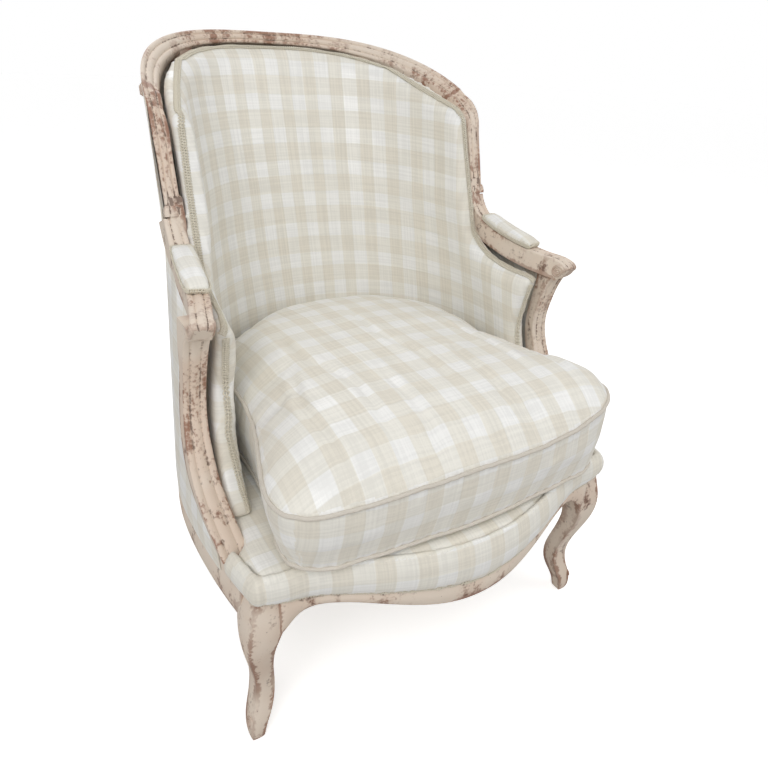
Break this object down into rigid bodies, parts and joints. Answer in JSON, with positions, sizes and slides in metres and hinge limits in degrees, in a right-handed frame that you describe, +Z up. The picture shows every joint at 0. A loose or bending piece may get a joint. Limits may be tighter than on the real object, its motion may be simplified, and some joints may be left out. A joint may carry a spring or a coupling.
{
  "type": "bergere chair",
  "caption": "Barrel-back bergere armchair with a carved, distressed cream-painted show-wood frame, ivory checked silk upholstery and a thick loose seat cushion.",
  "frame": {"origin": "on the floor under the middle of the chair's bounding box", "axes": "+Z up, -Y towards the sitter's knees (the front), +X to the right when seen from the front"},
  "size_m": [0.712, 0.8342, 0.9756],
  "materials": {
    "painted_wood": "cream chalk paint rubbed back to red-brown along the carved beads",
    "bare_beech": "bare beech, unfinished",
    "check_silk": "ivory silk woven in a satin and matt check",
    "piping_silk": "ivory silk over cord",
    "gimp_braid": "scalloped cream braid",
    "jute_webbing": "plain woven jute",
    "burlap": "open plain weave",
    "stuffing": "curled hair under wadding",
    "feather_fill": "down-proof cotton",
    "spring_steel": "drawn wire, lightly oiled"
  },
  "bodies": {
    "chair": {"crest_rail": "painted_wood", "stile_right": "painted_wood", "stile_left": "painted_wood", "arm_right": "painted_wood", "arm_left": "painted_wood", "arm_support_right": "painted_wood", "arm_support_left": "painted_wood", "front_rail": "painted_wood", "side_rail_right": "painted_wood", "side_rail_left": "painted_wood", "back_rail": "painted_wood", "front_leg_right": "painted_wood", "front_leg_left": "painted_wood", "rear_leg_right": "painted_wood", "rear_leg_left": "painted_wood", "corner_blocks": "bare_beech", "webbing_lengthwise": "jute_webbing", "webbing_crosswise": "jute_webbing", "seat_springs": "spring_steel", "seat_burlap": "burlap", "seat_stuffing": "stuffing", "seat_deck_cover": "check_silk", "seat_edge_roll": "check_silk", "seat_gimp": "gimp_braid", "dust_cover": "burlap", "back_lining": "burlap", "inside_back_pad": "stuffing", "inside_back_cover": "check_silk", "outside_back_cover": "check_silk", "back_gimp": "gimp_braid", "arm_pad_stuffing_right": "stuffing", "arm_pad_stuffing_left": "stuffing", "arm_pad_cover_right": "check_silk", "arm_pad_cover_left": "check_silk", "arm_pad_gimp_right": "gimp_braid", "arm_pad_gimp_left": "gimp_braid"},
    "seat_cushion": {"cushion_core": "feather_fill", "cushion_cover": "check_silk", "cushion_piping_top": "piping_silk", "cushion_piping_bottom": "piping_silk"}
  },
  "joints": [
    {"name": "cushion_pull", "type": "slide", "parent": "chair", "child": "seat_cushion", "axis": [0, -0.9397, 0.342], "range_m": [0, 0.45]}
  ]
}
